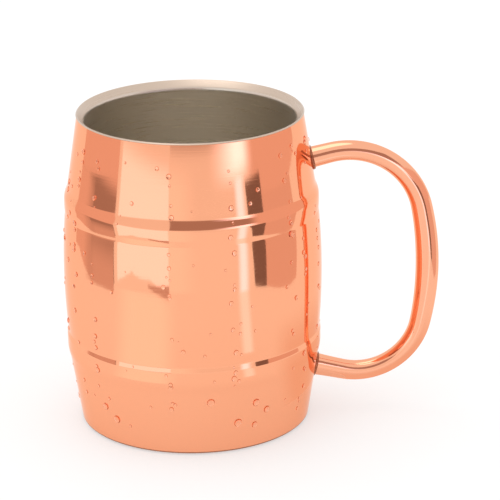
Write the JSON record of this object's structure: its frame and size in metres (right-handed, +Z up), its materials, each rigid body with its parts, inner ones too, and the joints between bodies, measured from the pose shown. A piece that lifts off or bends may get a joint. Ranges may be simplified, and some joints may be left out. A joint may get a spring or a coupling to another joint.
{
  "type": "copper mug",
  "caption": "Barrel-shaped double-walled drinking mug in mirror copper plate, with a steel lip and lining, stepped bands and a round tube handle.",
  "frame": {"origin": "on the barrel's axis, in the plane of the foot's flat ring", "axes": "+Z up along the barrel's axis, +X from the axis to the handle, XZ is the mug's mirror plane"},
  "size_m": [0.1347, 0.0924, 0.114],
  "materials": {
    "copper_skin": "mirror-polished copper plate on stainless steel",
    "copper_base": "polished copper plate on stainless steel, with fine turning marks",
    "copper_tube": "mirror-polished copper plate on steel tube",
    "steel_lining": "satin stainless steel",
    "weld_bead": "dressed weld under copper plate",
    "handle_bead": "small fillet weld under copper plate, darker than the skin"
  },
  "bodies": {
    "root": {"outer_shell": "copper_skin", "inner_cup": "steel_lining", "base_cap": "copper_base", "rim_weld": "weld_bead", "base_weld": "weld_bead", "handle_tube": "copper_tube", "upper_handle_weld": "handle_bead", "lower_handle_weld": "handle_bead"}
  },
  "joints": []
}
